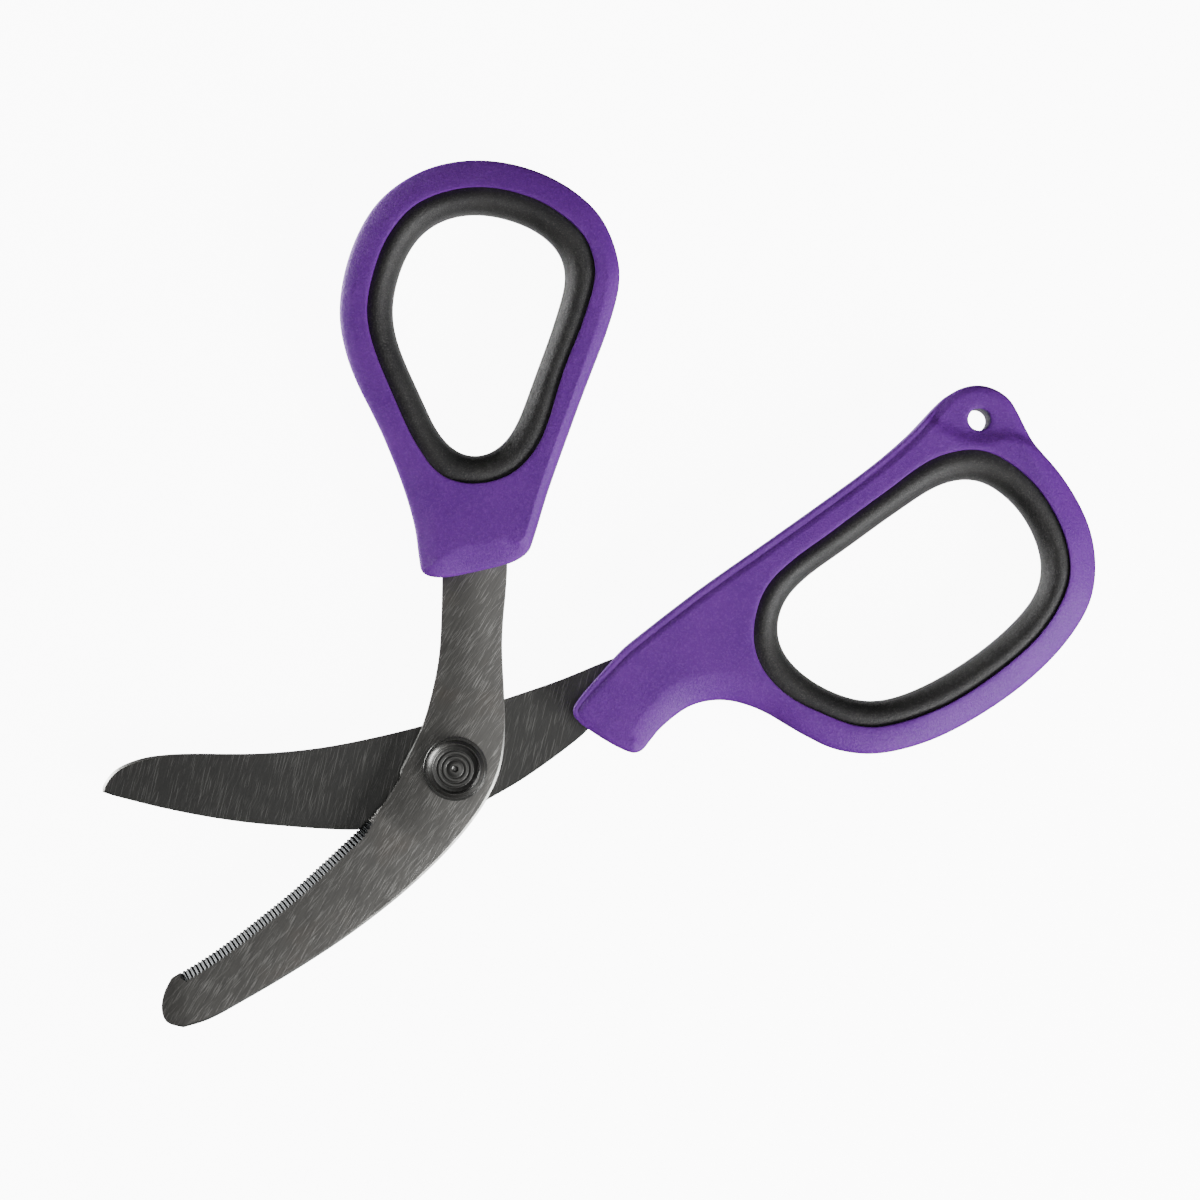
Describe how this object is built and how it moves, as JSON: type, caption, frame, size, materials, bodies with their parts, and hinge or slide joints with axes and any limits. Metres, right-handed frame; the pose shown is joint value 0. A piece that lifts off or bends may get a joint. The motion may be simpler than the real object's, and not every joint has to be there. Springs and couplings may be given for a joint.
{
  "type": "utility shears",
  "caption": "Open heavy-duty utility shears with a serrated and a plain curved blade, moulded handles, soft-lined finger loops and a lanyard tab.",
  "frame": {"origin": "on the pivot axis, at the outer face of the pivot's back screw, level with the handles' undersides", "axes": "+Z along the pivot axis, out of the front (serrated-blade) face; +X towards the finger loop; +Y towards the thumb loop, with the shears open"},
  "size_m": [0.1804, 0.157, 0.011],
  "materials": {
    "blade_steel": "dark coated, satin, with fine grinding scratches",
    "handle_plastic": "satin, finely textured",
    "liner_rubber": "soft-touch, matte",
    "pivot_steel": "blacked, semi-gloss",
    "washer_bronze": "plain bronze"
  },
  "bodies": {
    "finger_half": {"plain_blade": "blade_steel", "finger_handle": "handle_plastic", "finger_loop_liner": "liner_rubber", "pivot_barrel": "pivot_steel", "pivot_back_screw": "pivot_steel", "head_washer": "pivot_steel", "blade_washer": "washer_bronze", "spring_washer": "pivot_steel"},
    "thumb_half": {"serrated_blade": "blade_steel", "thumb_handle": "handle_plastic", "thumb_loop_liner": "liner_rubber"}
  },
  "joints": [
    {"name": "blade_pivot", "type": "hinge", "parent": "finger_half", "child": "thumb_half", "pos_m": [0, 0, 0.0055], "axis": [0, 0, 1], "range_deg": [-35, 75]}
  ]
}
